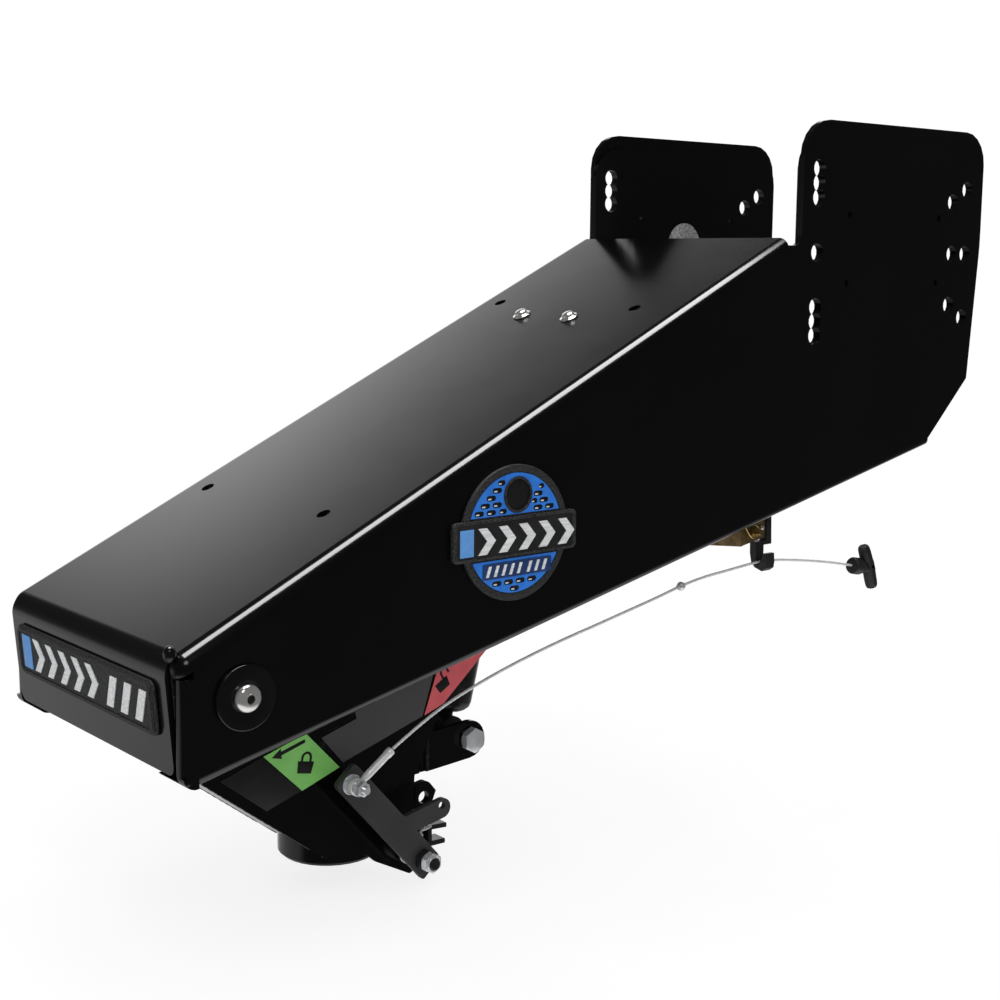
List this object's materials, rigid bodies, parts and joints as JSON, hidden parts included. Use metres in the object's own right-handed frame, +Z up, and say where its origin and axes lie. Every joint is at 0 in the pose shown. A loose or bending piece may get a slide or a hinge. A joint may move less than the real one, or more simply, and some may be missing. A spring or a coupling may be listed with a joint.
{
  "type": "fifth wheel hitch coupler",
  "caption": "Sloping box head that bolts to a fifth-wheel trailer frame by its rear wings and carries a hinged, air-sprung arm with a ball socket, lock lever and pull cable.",
  "frame": {"origin": "outer face of the left wing, at the middle of its bolt pattern", "axes": "+X rearward along the trailer, +Y to the right (from the left wing towards the right wing), +Z up"},
  "size_m": [1.1246, 0.3656, 0.7858],
  "materials": {
    "black_powder_coat": "gloss black powder coat with a fine orange peel",
    "bright_steel": "polished stainless",
    "bright_zinc": "bright zinc plate",
    "yellow_zinc": "yellow passivated zinc plate",
    "brass": "turned brass",
    "black_rubber": "moulded, matt",
    "black_plastic": "moulded, satin",
    "black_steel": "satin black paint",
    "steel": "bare steel",
    "green_label": "printed vinyl",
    "red_label": "printed vinyl",
    "grey_label": "printed vinyl",
    "blue_emblem": "domed resin badge"
  },
  "bodies": {
    "head": {"head_top_plate": "black_powder_coat", "head_side_left": "black_powder_coat", "head_side_right": "black_powder_coat", "wing_doubler_left": "black_powder_coat", "wing_doubler_right": "black_powder_coat", "nameplate": "black_plastic", "side_emblem_left": "blue_emblem", "side_emblem_right": "blue_emblem", "pivot_washer_left": "black_powder_coat", "pivot_washer_right": "black_powder_coat", "pivot_bolt_left": "bright_steel", "pivot_bolt_right": "bright_steel", "air_spring_bead_plate": "bright_zinc", "air_spring_bellows": "black_rubber", "spring_stud_left": "bright_steel", "spring_stud_right": "bright_steel", "shock_upper_bracket": "black_powder_coat", "shock_upper_bolt": "bright_zinc", "valve_bracket": "yellow_zinc", "inflation_valve": "brass", "cable_hook": "black_plastic", "droop_stop_left": "black_rubber", "droop_stop_right": "black_rubber"},
    "arm": {"pivot_bush_left": "yellow_zinc", "pivot_bush_right": "yellow_zinc", "arm_rail_left": "black_powder_coat", "arm_rail_right": "black_powder_coat", "pivot_tube": "black_powder_coat", "arm_deck": "black_powder_coat", "air_spring_piston": "black_plastic", "air_spring_seat": "black_powder_coat", "socket_cup": "black_powder_coat", "coupler_plate_left": "black_powder_coat", "coupler_plate_right": "black_powder_coat", "coupler_front_plate": "black_powder_coat", "coupler_back_plate": "black_powder_coat", "socket_top_plate": "black_powder_coat", "shock_ear_left": "black_powder_coat", "shock_ear_right": "black_powder_coat", "shock_bolt": "bright_zinc", "shock_nut": "bright_zinc", "lock_tab": "black_powder_coat", "stop_bracket": "black_powder_coat", "return_spring": "steel", "label_locked": "green_label", "label_unlocked": "red_label", "label_middle": "grey_label"},
    "lever": {"lock_lever": "black_powder_coat", "lever_shaft": "bright_zinc", "shaft_spacer": "black_steel", "shaft_nut": "bright_zinc", "ball_jaw": "steel", "cable_bolt": "bright_zinc", "cable_nut": "bright_zinc"},
    "cable_end": {"cable_terminal": "bright_zinc"},
    "cable": {"release_cable": "steel", "cable_stop": "bright_zinc", "pull_handle": "black_plastic"},
    "damper_body": {"shock_can": "black_steel"},
    "damper_rod": {"shock_rod": "steel"}
  },
  "joints": [
    {"name": "arm_pivot", "type": "hinge", "parent": "head", "child": "arm", "pos_m": [-0.867, 0.1715, -0.381], "axis": [0, 1, 0], "range_deg": [-5, 0], "stiffness_Nm_per_rad": 1500, "springref_deg": 2.01, "deforming": ["air_spring_bellows"]},
    {"name": "lever_pivot", "type": "hinge", "parent": "arm", "child": "lever", "pos_m": [-0.613, 0.1715, -0.614], "axis": [0, 1, 0], "range_deg": [0, 46], "stiffness_Nm_per_rad": 1.5, "springref_deg": -22.92},
    {"name": "cable_end_pivot", "type": "hinge", "parent": "lever", "child": "cable_end", "pos_m": [-0.701, 0.0735, -0.516], "axis": [0, 1, 0], "range_deg": [-43, 0]},
    {"name": "cable_bend", "type": "hinge", "parent": "cable_end", "child": "cable", "pos_m": [-0.661, 0.0695, -0.4845], "axis": [0, 1, 0], "range_deg": [0, 7.2]},
    {"name": "damper_low_pivot", "type": "hinge", "parent": "arm", "child": "damper_body", "pos_m": [-0.522, 0.1715, -0.514], "axis": [0, 1, 0], "range_deg": [0, 4.5]},
    {"name": "damper_high_pivot", "type": "hinge", "parent": "head", "child": "damper_rod", "pos_m": [-0.439, 0.1715, -0.185], "axis": [0, 1, 0], "range_deg": [-0.6, 0]}
  ],
  "couplings": [
    {"joint": "cable_end_pivot", "follows": "lever_pivot", "ratio": -0.93},
    {"joint": "cable_bend", "follows": "arm_pivot", "ratio": -1.43},
    {"joint": "damper_low_pivot", "follows": "arm_pivot", "ratio": -0.888},
    {"joint": "damper_high_pivot", "follows": "arm_pivot", "ratio": 0.112}
  ]
}
